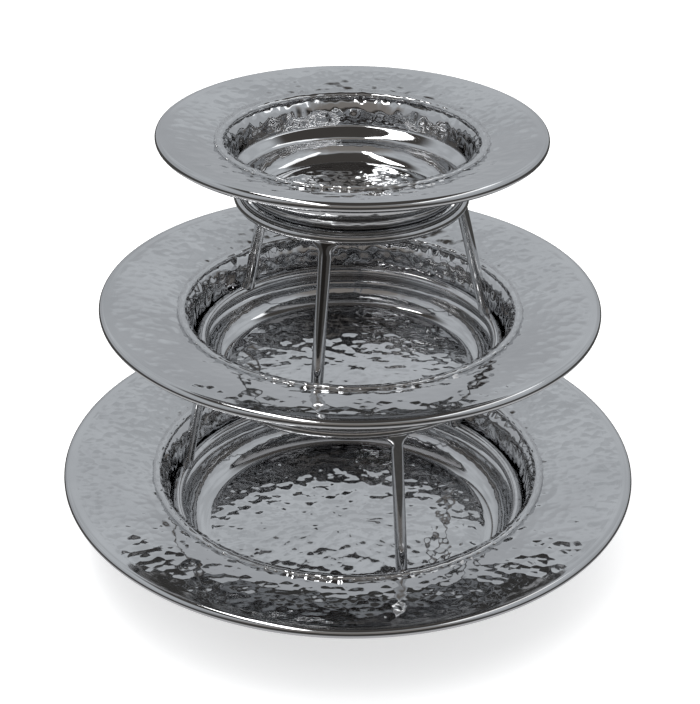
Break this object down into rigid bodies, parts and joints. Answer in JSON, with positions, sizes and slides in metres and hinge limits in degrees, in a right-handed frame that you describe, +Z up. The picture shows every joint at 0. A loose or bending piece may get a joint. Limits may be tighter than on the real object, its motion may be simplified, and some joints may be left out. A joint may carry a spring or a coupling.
{
  "type": "tiered plate set",
  "caption": "Tiered set of hammered steel wide-rim plates with deep wells, stacked by size on welded wire stands that seat in each well.",
  "frame": {"origin": "centre of the underside of the bottom plate, on the surface that the set stands on", "axes": "+Z up along the common axis of the plates and stands; the plates are round, and the front of the set is towards -Y"},
  "size_m": [0.3, 0.3, 0.23],
  "materials": {
    "hammered_steel": "hammered and mirror polished stainless steel",
    "steel_rod": "polished round stainless steel rod"
  },
  "bodies": {
    "bottom_plate_body": {"bottom_plate": "hammered_steel"},
    "lower_stand": {"lower_stand_foot_ring": "steel_rod", "lower_stand_top_ring": "steel_rod", "lower_stand_leg_1": "steel_rod", "lower_stand_leg_2": "steel_rod", "lower_stand_leg_3": "steel_rod"},
    "middle_plate_body": {"middle_plate": "hammered_steel"},
    "upper_stand": {"upper_stand_foot_ring": "steel_rod", "upper_stand_top_ring": "steel_rod", "upper_stand_leg_1": "steel_rod", "upper_stand_leg_2": "steel_rod", "upper_stand_leg_3": "steel_rod"},
    "top_plate_body": {"top_plate": "hammered_steel"}
  },
  "joints": [
    {"name": "lower_stand_turn", "type": "hinge", "parent": "bottom_plate_body", "child": "lower_stand", "pos_m": [0, 0, 0.02133], "axis": [0, 0, 1], "continuous": true},
    {"name": "middle_plate_lift", "type": "slide", "parent": "lower_stand", "child": "middle_plate_body", "axis": [0, 0, 1], "range_m": [0, 0.06]},
    {"name": "upper_stand_turn", "type": "hinge", "parent": "middle_plate_body", "child": "upper_stand", "pos_m": [0, 0, 0.11739], "axis": [0, 0, 1], "continuous": true},
    {"name": "top_plate_lift", "type": "slide", "parent": "upper_stand", "child": "top_plate_body", "axis": [0, 0, 1], "range_m": [0, 0.06]}
  ]
}
